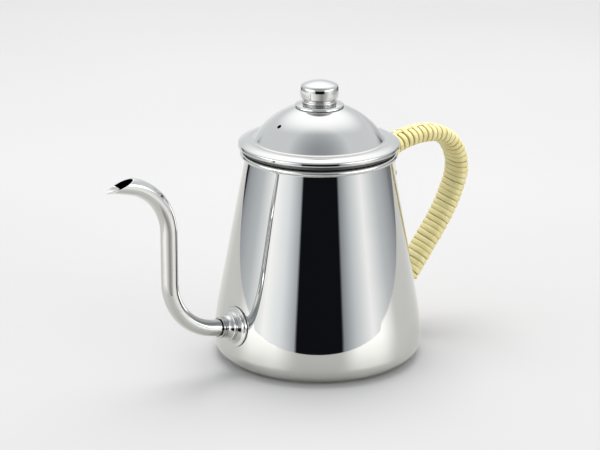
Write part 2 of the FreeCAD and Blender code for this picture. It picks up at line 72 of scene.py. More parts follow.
# %% Camera
def add_camera():
    """Camera matrix from bearing, downward tilt and roll: its columns are right, up and backwards."""
    swing = CAMERA_BEARING + math.pi - CAMERA_SWING
    level = np.array([math.cos(swing), math.sin(swing), 0.0])
    ahead = level * math.cos(CAMERA_DOWN) - UP * math.sin(CAMERA_DOWN)
    right = np.array([math.sin(swing), -math.cos(swing), 0.0])
    up = np.cross(right, ahead)
    cos, sin = math.cos(CAMERA_ROLL), math.sin(CAMERA_ROLL)
    matrix = np.eye(4)
    matrix[:3, :3] = np.stack([cos * right + sin * up, cos * up - sin * right, -ahead], axis=-1)
    matrix[:3, 3] = (CAMERA_DISTANCE * TO_LENS + CAMERA_HEIGHT * UP) * MM
    data = bpy.data.cameras.new("camera")
    data.sensor_width = SENSOR_WIDTH
    data.lens = FOCAL_PIXELS / IMAGE_WIDTH * SENSOR_WIDTH
    data.clip_start, data.clip_end = NEAR_CLIP, FAR_CLIP
    camera = bpy.data.objects.new("camera", data)
    camera.matrix_world = matrix.T.tolist()
    bpy.context.scene.collection.objects.link(camera)
    bpy.context.scene.camera = camera
    return camera


camera = add_camera()
print("camera at", [round(c, 3) for c in camera.matrix_world.translation])

# %% [markdown]
# ## Materials
# Four real materials make the kettle. Each is built from a few nodes, so one small function adds a node,
# sets its inputs and links it. Colours are written as sRGB hex values, the way they look on a screen, and
# one function turns them into the linear numbers that the renderer works with.

# %% Nodes and colours
def linear(hex_colour):
    """sRGB hex to linear RGBA by the standard curve: a straight toe, then a power of 2.4."""
    c = np.array([int(hex_colour[i : i + 2], 16) for i in (1, 3, 5)]) / 255.0
    rgb = np.where(c <= 0.04045, c / 12.92, ((c + 0.055) / 1.055) ** 2.4)
    return (*rgb.tolist(), 1.0)


def add_node(tree, kind, settings=None, stops=(), **inputs):
    """Adds one node. A node output given as an input is linked, and any other value is set.

    An input goes by its name, with _ for a space, or by i and its number where a name comes twice.
    Stops are the places and hex colours of a colour ramp.
    """
    node = tree.nodes.new(kind)
    for name, value in (settings or {}).items():
        setattr(node, name, value)
    for _ in stops[2:]:
        node.color_ramp.elements.new(0.5)
    for number, (place, colour) in enumerate(stops):
        node.color_ramp.elements[number].position = place
        node.color_ramp.elements[number].color = linear(colour)
    for name, value in inputs.items():
        key = int(name[1:]) if name[0] == "i" and name[1:].isdigit() else name.replace("_", " ")
        if isinstance(value, bpy.types.NodeSocket):
            tree.links.new(value, node.inputs[key])
        else:
            node.inputs[key].default_value = value
    return node


def new_material(name):
    """An empty material and its tree, ready for nodes."""
    material = bpy.data.materials.new(name)
    material.use_nodes = True
    material.node_tree.nodes.clear()
    print("material", name)
    return material, material.node_tree


# %% [markdown]
# ### Mirror-polished stainless steel
# The sheet is polished on a buffing wheel until it is a mirror with a neutral grey tone. What is left to see
# are very faint waves from the press, a few centimetres long, and a haze from fine buffing marks. A perfect
# mirror would look computed, so the waves are a weak bump and the haze is a small change in roughness.

# %% Polished steel
HAZE_SIZE, WAVE_SIZE = 18.0, 45.0


def polished_steel():
    """Metal with a smooth roughness cloud at the scale of the buffing wheel and a faint long wave."""
    material, tree = new_material("mirror_polished_stainless_steel")
    place = add_node(tree, "ShaderNodeTexCoord").outputs["Object"]
    haze = add_node(
        tree, "ShaderNodeTexNoise", Vector=place, Scale=1 / (HAZE_SIZE * MM), Detail=3.0
    ).outputs["Fac"]
    wave = add_node(
        tree, "ShaderNodeTexNoise", Vector=place, Scale=1 / (WAVE_SIZE * MM), Detail=0.0
    ).outputs["Fac"]
    rough = add_node(tree, "ShaderNodeMapRange", Value=haze, To_Min=0.015, To_Max=0.045)
    tone = add_node(
        tree, "ShaderNodeValToRGB", stops=((0.3, "#CFD0CF"), (0.7, "#D2D2D1")), Fac=haze
    )
    bump = add_node(tree, "ShaderNodeBump", Strength=0.03, Distance=0.3 * MM, Height=wave)
    shader = add_node(
        tree,
        "ShaderNodeBsdfPrincipled",
        Base_Color=tone.outputs["Color"],
        Metallic=1.0,
        Roughness=rough.outputs["Result"],
        Normal=bump.outputs["Normal"],
    )
    add_node(tree, "ShaderNodeOutputMaterial", Surface=shader.outputs[0])
    return material


STEEL = polished_steel()

# %% [markdown]
# ### Plain stainless steel, darkened as painted shade
# Pieces that nobody looks at keep the satin skin of the rolled or turned metal, with a broad soft highlight
# and a fine grain. Its tone is painted far darker than bare satin steel, as painted shade, so that the gap
# under the lid's hem reads black. It is used for the lid's skirt, the bar in the handle, the nut and washer
# of the spout and the screw and washer of the knob. The grain is half a millimetre, drawn coarser than the
# real one so that it shows.

# %% Plain steel, darkened as painted shade
GRAIN_SIZE = 0.5


def shade_darkened_satin():
    """Satin metal in a dark painted-shade tone: one fine noise moves both the tone and the roughness."""
    material, tree = new_material("satin_steel_darkened_as_painted_shade")
    place = add_node(tree, "ShaderNodeTexCoord").outputs["Object"]
    grain = add_node(
        tree, "ShaderNodeTexNoise", Vector=place, Scale=1 / (GRAIN_SIZE * MM), Detail=2.0
    ).outputs["Fac"]
    rough = add_node(tree, "ShaderNodeMapRange", Value=grain, To_Min=0.24, To_Max=0.4)
    # The dark tone is painted shade, so that the gap under the lid's hem reads black.
    tone = add_node(
        tree, "ShaderNodeValToRGB", stops=((0.3, "#585959"), (0.7, "#646565")), Fac=grain
    )
    shader = add_node(
        tree,
        "ShaderNodeBsdfPrincipled",
        Base_Color=tone.outputs["Color"],
        Metallic=1.0,
        Roughness=rough.outputs["Result"],
    )
    add_node(tree, "ShaderNodeOutputMaterial", Surface=shader.outputs[0])
    return material


SATIN_IN_PAINTED_SHADE = shade_darkened_satin()

# %% [markdown]
# ### Silicone rubber
# The gasket behind the spout's flange shows only as a thin dark line. Moulded silicone is a soft black with
# a dull bloom. One flat black would look like a hole, so a fine cloud lifts it a little, and the highlight
# stays broad.

# %% Silicone
BLOOM_SIZE = 2.0


def silicone_rubber():
    """Dull black with a cloud of bloom two millimetres across."""
    material, tree = new_material("moulded_silicone_rubber")
    place = add_node(tree, "ShaderNodeTexCoord").outputs["Object"]
    bloom = add_node(
        tree, "ShaderNodeTexNoise", Vector=place, Scale=1 / (BLOOM_SIZE * MM), Detail=2.0
    ).outputs["Fac"]
    tone = add_node(
        tree, "ShaderNodeValToRGB", stops=((0.3, "#141414"), (0.8, "#232323")), Fac=bloom
    )
    shader = add_node(
        tree, "ShaderNodeBsdfPrincipled", Base_Color=tone.outputs["Color"], Roughness=0.62
    )
    add_node(tree, "ShaderNodeOutputMaterial", Surface=shader.outputs[0])
    return material


RUBBER = silicone_rubber()

# %% [markdown]
# ### Cane
# The binding is split cane: the hard glossy skin of the rattan stem, pared to a flat strip. Its colour runs
# from cream to straw, in streaks that follow the strip, and its pared edges are darker because they show
# the pith. A pattern in Object coordinates would cut across the turns, so the strip's mesh carries an
# attribute with the distance along it and across it, in millimetres.

# %% Colours of cane
STREAK_SCALE = (0.12, 2.2, 1.0)  # streaks 8 mm long and half a millimetre wide
PATCH_SCALE = (0.035, 0.1, 1.0)  # paler patches 30 mm long, wider than the strip
SKIN = ((0.25, "#DFD190"), (0.5, "#F1E9B8"), (0.75, "#F7F3D6"))
WARMTH = ((0.35, "#F2E7B4"), (0.7, "#FBF8E4"))
WARM_SHARE = 0.6
PITH = "#A08A42"
PARED_FROM, PARED_TO = 1.45, 1.8  # distances from the strip's middle
PARED_SHARE = 0.55  # of pith, at the very edge


def cane_skin(tree, along, across):
    """Streaks multiplied by paler patches, then pith where the distance from the middle is large."""
    streak_place = add_node(tree, "ShaderNodeMapping", Vector=along, Scale=STREAK_SCALE).outputs[0]
    streak = add_node(
        tree, "ShaderNodeTexNoise", Vector=streak_place, Scale=1.0, Detail=4.0
    ).outputs["Fac"]
    patch_place = add_node(tree, "ShaderNodeMapping", Vector=along, Scale=PATCH_SCALE).outputs[0]
    patch = add_node(tree, "ShaderNodeTexNoise", Vector=patch_place, Scale=1.0).outputs["Fac"]
    skin = add_node(tree, "ShaderNodeValToRGB", stops=SKIN, Fac=streak).outputs["Color"]
    warm = add_node(tree, "ShaderNodeValToRGB", stops=WARMTH, Fac=patch).outputs["Color"]
    multiply = {"data_type": "RGBA", "blend_type": "MULTIPLY"}
    colour = add_node(tree, "ShaderNodeMix", multiply, i0=WARM_SHARE, i6=skin, i7=warm).outputs[2]
    pared = add_node(
        tree,
        "ShaderNodeMapRange",
        {"interpolation_type": "SMOOTHSTEP"},
        Value=across,
        From_Min=PARED_FROM,
        From_Max=PARED_TO,
        To_Max=PARED_SHARE,
    ).outputs["Result"]
    edge = add_node(
        tree, "ShaderNodeMix", {"data_type": "RGBA"}, i0=pared, i6=colour, i7=linear(PITH)
    )
    return streak, edge.outputs[2]


# %% Cane
def split_cane():
    """Cane's colours with a fibre bump along the streaks and a thin waxy coat."""
    material, tree = new_material("split_cane")
    along = add_node(tree, "ShaderNodeAttribute", {"attribute_name": "strip"}).outputs["Vector"]
    parts = add_node(tree, "ShaderNodeSeparateXYZ", Vector=along)
    across = add_node(tree, "ShaderNodeMath", {"operation": "ABSOLUTE"}, i0=parts.outputs["Y"])
    streak, colour = cane_skin(tree, along, across.outputs[0])
    fibre = add_node(tree, "ShaderNodeBump", Strength=0.25, Distance=0.05 * MM, Height=streak)
    rough = add_node(tree, "ShaderNodeMapRange", Value=streak, To_Min=0.36, To_Max=0.5)
    shader = add_node(
        tree,
        "ShaderNodeBsdfPrincipled",
        Base_Color=colour,
        Roughness=rough.outputs["Result"],
        Normal=fibre.outputs["Normal"],
        IOR=1.5,
        Coat_Weight=0.15,
        Coat_Roughness=0.2,
    )
    add_node(tree, "ShaderNodeOutputMaterial", Surface=shader.outputs[0])
    return material


CANE = split_cane()

# %% [markdown]
# ## Tools for surfaces
# A kettle is a set of profiles: most are turned round an axis, and the spout is a circle carried along a
# bent line. A profile is a run of straight lines and arcs that flow into each other, which is how the sheet
# is drawn and pressed. A grid of points needs quads between its neighbours, and one function makes a mesh
# of them, gives it a material and lets it ride on a body of the frame.

# %% Runs of lines and arcs
def ahead_of(angle):
    """Unit vectors at an angle above the first axis."""
    return np.stack([np.cos(angle), np.sin(angle)], axis=-1)


def left_of(angle):
    """Unit vectors a quarter turn to the left of that."""
    return np.stack([-np.sin(angle), np.cos(angle)], axis=-1)


def trace(start, heading, steps, shift=0.0, line_step=4.0, arc_step=3.0, arc_length=0.5):
    """Points and headings on a run moved to its left by shift.

    A line (length,) adds its length along the heading. An arc (radius, turn) with left turns positive
    goes to here + radius * (left of the old heading - left of the new one). Arcs get a point for every
    arc_step degrees or arc_length millimetres, whichever is closer.
    """
    angle = math.radians(heading)
    here = np.array(start, float) + shift * left_of(angle)
    points, headings = [], []
    for step in steps:
        if len(step) == 1:
            t = np.linspace(0, 1, max(2, math.ceil(step[0] / line_step) + 1))
            run = here + (t * step[0])[:, None] * ahead_of(angle)
            turns = np.full(len(t), angle)
        else:
            radius = step[0] - shift * math.copysign(1, step[1])
            turn = math.radians(step[1])
            count = max(abs(step[1]) / arc_step, radius * abs(turn) / arc_length)
            turns = angle + np.linspace(0, turn, max(3, math.ceil(count) + 1))
            run = here + math.copysign(radius, turn) * (left_of(angle) - left_of(turns))
            angle += turn
        points.append(run[:-1])
        headings.append(turns[:-1])
        here = run[-1]
    points.append(here[None])
    headings.append(np.array([angle]))
    return np.concatenate(points), np.concatenate(headings)


def sheet_section(start, heading, steps, low, high):
    """Closed section of sheet: the run shifted by low, then back along the run shifted by high."""
    near, _ = trace(start, heading, steps, low)
    far, _ = trace(start, heading, steps, high)
    return np.concatenate([near, far[::-1]])


# %% Grids and turning
def full_turn(count):
    """Angles of one full turn, without its end."""
    return np.arange(count) * 2 * math.pi / count


def grid_faces(rows, columns, close_rows):
    """Quads between neighbours on a grid whose columns close: (i, j) and one row and one column on."""
    i, j = np.meshgrid(
        np.arange(rows if close_rows else rows - 1), np.arange(columns), indexing="ij"
    )
    below, beside = (i + 1) % rows, (j + 1) % columns
    quads = [i * columns + j, i * columns + beside, below * columns + beside, below * columns + j]
    return np.stack(quads, axis=-1).reshape(-1, 4)


def turned(profile, segments=288):
    """Surface of revolution: (radius cos a, radius sin a, height) for each profile point and angle a."""
    a = full_turn(segments)
    radius, height = profile[:, :1], profile[:, 1:]
    grid = np.broadcast_arrays(radius * np.cos(a), radius * np.sin(a), height)
    return np.stack(grid, axis=-1).reshape(-1, 3), grid_faces(len(profile), segments, True)


# %% Meshes
SAME_POINT = 0.0005  # points nearer than this are one


def add_piece(
    name, surface, body, material, nodes, sharp=40.0, strip=None, pierced_through=False
):
    """Mesh object from points in millimetres and faces, smooth but for edges sharper than the angle.

    Points that fall together at poles and seams are merged, a hole through the sheet is lined, open
    ends are closed, and the faces are turned outwards. A strip brings coordinates along and across it.
    """
    points, faces = surface
    mesh = bpy.data.meshes.new(name)
    mesh.from_pydata((points * MM).tolist(), [], faces.tolist())
    if strip is not None:
        attribute = mesh.attributes.new("strip", "FLOAT_VECTOR", "POINT")
        attribute.data.foreach_set("vector", strip.astype(np.float32).ravel())
    solid = bmesh.new()
    solid.from_mesh(mesh)
    bmesh.ops.remove_doubles(solid, verts=solid.verts, dist=SAME_POINT * MM)
    if pierced_through:
        bmesh.ops.bridge_loops(solid, edges=[edge for edge in solid.edges if edge.is_boundary])
    bmesh.ops.holes_fill(solid, edges=solid.edges, sides=0)
    bmesh.ops.recalc_face_normals(solid, faces=solid.faces)
    solid.to_mesh(mesh)
    solid.free()
    mesh.shade_smooth()
    mesh.set_sharp_from_angle(angle=math.radians(sharp))
    mesh.materials.append(material)
    piece = bpy.data.objects.new(name, mesh)
    bpy.context.scene.collection.objects.link(piece)
    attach(piece, body)
    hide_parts(*nodes)
    print(name, len(mesh.polygons), "faces")


# %% [markdown]
# ## The pot
# The pot is two pressings. The wall leans in from a wide belly, flares at the top and is rolled outwards
# into a bead. The base is a flat disc with a pressed ring that keeps it from drumming, and a round edge.
# Both could be lathed from hand-drawn points, but tangent arcs keep the reflections free of kinks.

# %% Wall with its rolled bead
SHEET = 0.8
WELD = (65.0, 11.0)  # widest radius and its height
WALL_BOW, WALL_LEAN = 114.0, 10.6  # radius of the belly's arc, and its turn in degrees
WALL_STEPS = ((WALL_BOW, WALL_LEAN), (95.763,), (5.0, -35.0))
BEAD = np.array([46.75, 129.35])
BEAD_RADIUS, BEAD_POINTS = 1.8, 56


def wall_section():
    """Outside of the wall up to the bead, round the bead, and down the inside."""
    sides = [trace(WELD, 90, WALL_STEPS, shift)[0] for shift in (0, SHEET)]
    outside, inside = (
        side[np.linalg.norm(side - BEAD, axis=1) > BEAD_RADIUS] for side in sides
    )
    first = np.arctan2(*(outside[-1] - BEAD)[::-1])
    last = np.arctan2(*(inside[-1] - BEAD)[::-1])
    angles = np.linspace(first, last + (2 * math.pi if last < first else 0), BEAD_POINTS)
    return np.concatenate([outside, BEAD + BEAD_RADIUS * ahead_of(angles), inside[::-1]])


add_piece("pot_wall", turned(wall_section()), "kettle", STEEL, ["body_wall"])

# %% Base pan
BASE_STEPS = ((34.0,), (4.0, 25.0), (4.0, -50.0), (4.0, 25.0), (13.238,), (11.0, 90.0))
base_section = sheet_section((0.0, 0.0), 0, BASE_STEPS, 0, SHEET)
add_piece("pot_base", turned(base_section), "kettle", STEEL, ["bottom_pan"])

# %% [markdown]
# ## The lid
# The lid is one pressing: a dome that ends in a tight valley, a convex brim and a rolled hem. A small steam
# hole goes through the dome on the spout's side. A boolean cut leaves ragged shading on a mirror, so the
# hole is made in the grid itself: points inside its circle move out on to it, along the sphere, and the
# quads that are left inside are dropped. The two edges of the hole are then joined through the sheet. A
# skirt under the brim hangs the lid in the mouth.

# %% Dome with its steam hole
DOME_RADIUS = 47.1
DOME_MIDDLE = np.array([0.0, 0.0, 113.95])
FLAT_BEND, FLAT_TURN = 10.0, 11.5  # arc between the flat under the knob and the dome
FLAT_ANGLE = math.radians(FLAT_TURN)
FLAT_RADIUS = (DOME_RADIUS - FLAT_BEND) * math.sin(FLAT_ANGLE)
DOME_TOP = DOME_MIDDLE[2] + FLAT_BEND + (DOME_RADIUS - FLAT_BEND) * math.cos(FLAT_ANGLE)
SCREW_HOLE = 2.2
CENTRE_STEPS = ((FLAT_RADIUS - SCREW_HOLE,), (FLAT_BEND, -FLAT_TURN))
BRIM_STEPS = (
    (DOME_RADIUS, -46.0), (2.0, 62.5), (13.0, -34.0), (1.2, -54.0), (1.0,), (0.9, -80.0),
)
STEAM_HOLE_RADIUS = 1.5
STEAM_HOLE_ANGLE = math.radians(39.5)


def pierced(surface, middle, axis, radius):
    """Opens a round hole along an axis through a sphere's middle: points move out on to its circle."""
    points, faces = surface
    arm = points - middle
    along = arm @ axis
    across = arm - along[:, None] * axis
    reach = np.linalg.norm(across, axis=1)
    inside = (reach < radius) & (along > 0)
    out = across[inside] * (radius / np.maximum(reach[inside], 1e-6))[:, None]
    length = np.linalg.norm(arm[inside], axis=1)
    height = np.sqrt(length**2 - radius**2)
    moved = points.copy()
    moved[inside] = middle + out + height[:, None] * axis
    return moved, faces[~inside[faces].all(axis=1)]


steam_axis = np.array([-math.sin(STEAM_HOLE_ANGLE), 0.0, math.cos(STEAM_HOLE_ANGLE)])
dome_section = sheet_section((SCREW_HOLE, DOME_TOP), 0, CENTRE_STEPS + BRIM_STEPS, 0, -SHEET)
dome = pierced(turned(dome_section, segments=300), DOME_MIDDLE, steam_axis, STEAM_HOLE_RADIUS)
add_piece(
    "lid_shell", dome, "lid", STEEL, ["lid_dome"], pierced_through=True
)

# %% Skirt
SKIRT_FOOT = (44.1, 119.5)
SKIRT_STEPS = ((11.35,), (0.6, -90.0), (1.9,), (1.0, 90.0), (4.35,))
SKIRT_SHEET = 0.7
skirt_section = sheet_section(SKIRT_FOOT, 90, SKIRT_STEPS, 0, SKIRT_SHEET)
# The skirt wears the satin tone darkened as painted shade, so the gap under the hem reads black.
add_piece("lid_ring", turned(skirt_section), "lid", SATIN_IN_PAINTED_SHADE, ["lid_skirt"])

# %% [markdown]
# ## The knob
# A turned knob: a ridge and a groove at its foot, a flared underside, a barrel side and a low crown. It sits
# on a thin pressed disc, flatter than the dome, so a fine dark gap shows under the disc's rim. The crown's
# arc could be drawn by hand, but where it touches the edge follows from the two radii.

# %% Knob
SEAT_SHEET = 0.8
KNOB_FOOT = (9.8, DOME_TOP + SEAT_SHEET)
KNOB_EDGE, KNOB_CROWN = 2.8, 25.0
KNOB_SIDE = (
    (0.3, -90.0), (0.6, 180.0), (0.4, -150.0), (0.95,), (1.6, 50.0), (23.0, 10.0), (9.0, 12.0),
)


def knob_section():
    """Outline from the foot to the axis; the crown's arc touches the edge's arc and ends level."""
    points, headings = trace(KNOB_FOOT, 90, KNOB_SIDE)
    edge_middle = points[-1] + KNOB_EDGE * left_of(headings[-1])
    crown = math.degrees(math.asin(edge_middle[0] / (KNOB_CROWN - KNOB_EDGE)))
    edge = 180 - math.degrees(headings[-1]) - crown
    profile, _ = trace(KNOB_FOOT, 90, KNOB_SIDE + ((KNOB_EDGE, edge), (KNOB_CROWN, crown)))
    profile[-1, 0] = 0.0
    return np.concatenate([profile, [[0.0, KNOB_FOOT[1]]]])


knob = turned(knob_section(), segments=160)
add_piece("lid_knob", knob, "lid", STEEL, ["knob"])

# %% Seat under the knob
SEAT_STEPS = ((10.6 - SCREW_HOLE,), (6.0, -13.0), (2.1,), (0.5, -60.0), (0.45,))
seat_section = sheet_section((SCREW_HOLE, DOME_TOP), 0, SEAT_STEPS, 0, SEAT_SHEET)
seat = turned(seat_section, segments=200)
add_piece("lid_knob_seat", seat, "lid", STEEL, ["knob_seat"])

# %% [markdown]
# ## The spout
# A thin tube is bent twice and cut obliquely at its tip, so that the water leaves over a narrow lip. The
# tube is a circle carried along its bent line. A boolean cut would leave long thin faces at the lip, so each
# line along the tube ends where it meets the cutting plane, and that place is read from the heights of a
# fine grid above the plane, for all lines at once.

# %% Lines that carry a profile
def spine(start, heading, steps):
    """Distances, points and headings along a run, close enough together to be read in between."""
    points, headings = trace(start, heading, steps, line_step=0.25, arc_step=0.5, arc_length=0.1)
    gaps = np.linalg.norm(np.diff(points, axis=0), axis=1)
    return np.concatenate([[0.0], np.cumsum(gaps)]), points, headings


def on_spine(line, distance, rise, side):
    """Point at a distance along a run, raised to its left in the plane and moved sideways along Y."""
    lengths, points, headings = line
    angle = np.interp(distance, lengths, headings)
    x = np.interp(distance, lengths, points[:, 0]) - np.sin(angle) * rise
    z = np.interp(distance, lengths, points[:, 1]) + np.cos(angle) * rise
    return np.stack([x, np.broadcast_to(side, x.shape), z], axis=-1)


# %% Spout tube
SPOUT_HEIGHT = 28.9
SPOUT_HEADING = 170.0
SPOUT_RISE = SPOUT_HEIGHT - WELD[1]
SPOUT_ROOT = np.array([WALL_BOW - WELD[0] - math.sqrt(WALL_BOW**2 - SPOUT_RISE**2), SPOUT_HEIGHT])
TUBE_INSIDE = 10.0  # length of tube inside the pot
TUBE_RADIUS = 5.1
TUBE_SHEET = 0.7
TUBE_STEPS = ((26.2,), (36.0, -80.0), (30.3,), (34.8, 76.0), (8.3,), (20.0, 8.3), (9.0,))
CUT_TOP = np.array([-132.5, 135.65])
CUT_LIP = np.array([-151.2, 129.07])
CUT_BEGIN = 30.0  # length at the tip that the cut may reach
CUT_SAMPLES, TUBE_ROWS, TIP_ROWS = 600, 149, 60


def cut_tube(line, radius, around=72):
    """Grid of a tube whose lines end on the cutting plane: rows along the tube, columns round it."""
    a = full_turn(around)
    rise, side = radius * np.cos(a), radius * np.sin(a)
    begin, total = line[0][-1] - CUT_BEGIN, line[0][-1]
    tip = np.linspace(begin, total, CUT_SAMPLES)[:, None]
    fine = on_spine(line, np.broadcast_to(tip, (CUT_SAMPLES, around)), rise, side)
    fall = (CUT_TOP - CUT_LIP) / np.linalg.norm(CUT_TOP - CUT_LIP)
    above = (fine[..., 2] - CUT_TOP[1]) * fall[0] - (fine[..., 0] - CUT_TOP[0]) * fall[1]
    first = np.where((above > 0).any(axis=0), (above > 0).argmax(axis=0), CUT_SAMPLES - 1)
    high, low = above[first, range(around)], above[first - 1, range(around)]
    share = np.clip(np.where(high > 0, -low / (high - low), 1.0), 0.0, 1.0)
    end = tip[first - 1, 0] + share * (tip[1, 0] - tip[0, 0])
    full = np.linspace(0, begin, TUBE_ROWS, endpoint=False)[:, None]
    tapered = begin + np.linspace(0, 1, TIP_ROWS)[:, None] * (end - begin)
    distance = np.concatenate([np.broadcast_to(full, (TUBE_ROWS, around)), tapered])
    return on_spine(line, distance, rise, side)


def spout_surface():
    """Outside of the tube from its root to its lip, then the inside back to the root."""
    start = SPOUT_ROOT - TUBE_INSIDE * ahead_of(math.radians(SPOUT_HEADING))
    line = spine(start, SPOUT_HEADING, TUBE_STEPS)
    outside, inside = (cut_tube(line, TUBE_RADIUS - sheet) for sheet in (0.0, TUBE_SHEET))
    rows = np.concatenate([outside, inside[::-1]])
    return rows.reshape(-1, 3), grid_faces(rows.shape[0], rows.shape[1], True)


add_piece("spout", spout_surface(), "kettle", STEEL, ["spout_tube"])

# %% [markdown]
# ### Collar
# The tube leaves the pot through a turned collar with two ridges and a waist. It could be built in place,
# but a turned piece is simplest about Z, so it is made there and then moved on to the spout's axis with a
# matrix.

# %% Tools on the spout's axis
def on_spout(surface):
    """Turns a surface made about Z on to the spout's axis, with its zero at the wall."""
    points, faces = surface
    angle = math.radians(SPOUT_HEADING)
    axis = np.array([math.cos(angle), 0.0, math.sin(angle)])
    side = np.array([0.0, 1.0, 0.0])
    basis = np.stack([np.cross(side, axis), side, axis])
    return points @ basis + np.array([SPOUT_ROOT[0], 0.0, SPOUT_ROOT[1]]), faces


def arc_through(first, middle, last, count):
    """Points on the circle through three points of a profile."""
    a, b, c = (np.array(p) for p in (first, middle, last))
    system = 2 * np.array([b - a, c - a])
    centre = np.linalg.solve(system, [b @ b - a @ a, c @ c - a @ a])
    start, turn = (np.arctan2(*(p - centre)[::-1]) for p in (a, c))
    turn = (turn - start + math.pi) % (2 * math.pi) - math.pi
    return centre + np.linalg.norm(a - centre) * ahead_of(start + np.linspace(0, turn, count))


# %% Collar
COLLAR_RIM, COLLAR_FOOT = 8.3, 2.7  # radius of its ridges, and where it sits on the flange
COLLAR_NECK = 6.0  # radius of the part that goes through the wall
MOUTH_RADIUS, MOUTH_DEPTH = 5.85, 9.5
COLLAR_END, COLLAR_INSIDE = 11.5, -9.0  # its two ends, outside and inside the pot


def ridge(place, radius):
    """Half-round ridge on the collar, from its foot to its far side."""
    angles = np.linspace(-0.5, 0.5, 17) * math.pi
    return np.array([COLLAR_RIM - radius, place]) + radius * ahead_of(angles)


collar_profile = np.concatenate(
    [
        ridge(3.15, 0.45),
        ridge(4.3, 0.4),
        arc_through((7.9, 4.7), (6.55, 6.4), (6.5, MOUTH_DEPTH), 24),
        [[6.55, COLLAR_END - 0.15], [6.4, COLLAR_END], [MOUTH_RADIUS, COLLAR_END]],
        [[MOUTH_RADIUS, MOUTH_DEPTH], [TUBE_RADIUS, MOUTH_DEPTH], [TUBE_RADIUS, COLLAR_INSIDE]],
        [[COLLAR_NECK, COLLAR_INSIDE], [COLLAR_NECK, COLLAR_FOOT]],
    ]
)
collar = on_spout(turned(collar_profile, segments=96))
add_piece("spout_root", collar, "kettle", STEEL, ["spout_collar"], sharp=35.0)

# %% [markdown]
# ### Flange
# The flange is pressed to the curve of the wall, so it can't be turned. Each of its points lies at a radius
# and an angle about the spout's axis, and its height is where a line along the axis meets a copy of the wall
# that is grown outwards. A small dish rises from it to the collar.

# %% Wall under the flange
def wall_radius(height, growth):
    """Radius of the grown wall: a circle's arc up to its end, then a straight line that leans in."""
    arc, lean = WALL_BOW + growth, math.radians(WALL_LEAN)
    middle, rise = WELD[0] - WALL_BOW, height - WELD[1]
    on_arc = middle + np.sqrt(np.maximum(arc**2 - rise**2, 0.0))
    on_line = middle + arc * math.cos(lean) - (rise - arc * math.sin(lean)) * math.tan(lean)
    return np.where(rise < arc * math.sin(lean), on_arc, on_line)


def wall_height(radius, angle, growth, rounds=8):
    """Height over the flange's plane where a line along the axis meets the grown wall, by repeated steps."""
    height = np.zeros(np.broadcast(radius, angle).shape)
    for _ in range(rounds):
        local = np.stack([radius * np.cos(angle), radius * np.sin(angle), height], axis=-1)
        points, _ = on_spout((local.reshape(-1, 3), None))
        x, y, z = points.T
        height = height - (np.hypot(x, y) - wall_radius(z, growth)).reshape(height.shape)
    return height


# %% Flange
GASKET_SHEET, FLANGE_SHEET = 0.4, 1.3  # distances of its two faces from the wall
FLANGE_RADIUS = 12.65
RIM_RADII = (12.3, 12.5, 12.61, FLANGE_RADIUS)
RIM_BEVEL = (0.0, 0.03, 0.1, 0.2)
UNDER_DISH = -1.0  # below the wall, so that the wall's height holds there


def flange_surface(around=144):
    """Rows from the bore over the dish to the rim, round its edge and back along the wall."""
    a = full_turn(around)
    dish = arc_through((COLLAR_RIM, COLLAR_FOOT), (10.15, 0.8), (12.0, -0.2), 22)
    radius = np.concatenate([[COLLAR_NECK], dish[:, 0], RIM_RADII])[:, None]
    level = np.concatenate([[COLLAR_FOOT], dish[:, 1], np.full(len(RIM_RADII), UNDER_DISH)])
    bevel = np.concatenate([np.zeros(len(dish) + 1), RIM_BEVEL])
    top = np.maximum(level[:, None], wall_height(radius, a, FLANGE_SHEET)) - bevel[:, None]
    under_radius = np.array([[FLANGE_RADIUS], [COLLAR_NECK]])
    under = wall_height(under_radius, a, GASKET_SHEET)
    radius, height = np.concatenate([radius, under_radius]), np.concatenate([top, under])
    points = np.stack(np.broadcast_arrays(radius * np.cos(a), radius * np.sin(a), height), axis=-1)
    return on_spout((points.reshape(-1, 3), grid_faces(len(radius), around, True)))


flange = flange_surface()
add_piece("spout_cover", flange, "kettle", STEEL, ["spout_flange"], sharp=35.0)

# %% [markdown]
# ## The cane binding
# One strip of split cane is wound from end to end round an oval bar. Its outside is domed and its edges are
# pared, and the turns lie side by side, so a thin dark line shows between them, wider where the bend opens
# them on its outside and finer on the lower half, where the winding is tighter. A bump on a plain tube would
# lose its outline, so the strip is a profile carried round the oval while it moves along the bent bar.

# %% Handle line and oval
HANDLE_LINE = spine(
    (47.38, 120.97), 28.7, ((66.6, -36.3), (26.3, -102.4), (101.4, -18.1), (52.0,))
)
CORE_THICK, CORE_WIDE = 2.7, 6.5  # half axes of the bar
OVAL_POWER = 2.5


def oval(turn, height):
    """Point of a rounded oval: both half axes grow by height, and the power squares its corners a little."""
    cos, sin = np.cos(turn), np.sin(turn)
    thick = np.abs(cos / (CORE_THICK + height)) ** OVAL_POWER
    wide = np.abs(sin / (CORE_WIDE + height)) ** OVAL_POWER
    size = (thick + wide) ** (-1 / OVAL_POWER)
    return size * cos, size * sin


def bend_of(distance):
    """Curvature of the handle's line, positive where the outside of the bend is to the left."""
    lengths, _, headings = HANDLE_LINE
    return -np.interp(distance, lengths, np.gradient(headings, lengths))


print("handle line of", round(HANDLE_LINE[0][-1], 1), "mm")

